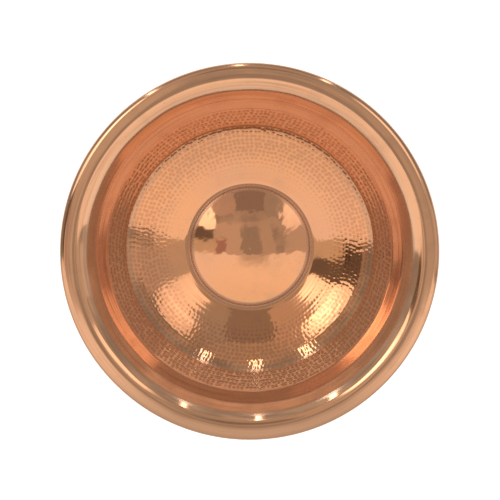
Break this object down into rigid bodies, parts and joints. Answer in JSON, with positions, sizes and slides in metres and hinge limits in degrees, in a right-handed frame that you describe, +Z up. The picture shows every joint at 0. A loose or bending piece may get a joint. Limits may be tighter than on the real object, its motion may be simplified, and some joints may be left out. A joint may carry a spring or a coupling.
{
  "type": "hammered copper bowl",
  "caption": "Shallow round decorative bowl of hammered copper sheet, with a smooth raised boss, a flanged rim and an edge rolled over a stiffening wire.",
  "frame": {"origin": "centre of the ring-shaped land that the bowl stands on, on its axis", "axes": "+Z up out of the open side along the bowl's axis; X and Y lie in the plane it stands on"},
  "size_m": [0.305, 0.305, 0.0672],
  "materials": {
    "hammered_copper": "hand-hammered copper, polished and mellowed; smooth boss, wall and rim, small round hammer marks between them",
    "iron_wire": "plain drawn iron wire, dulled"
  },
  "bodies": {
    "root": {"bowl_shell": "hammered_copper", "rim_wire": "iron_wire"}
  },
  "joints": []
}
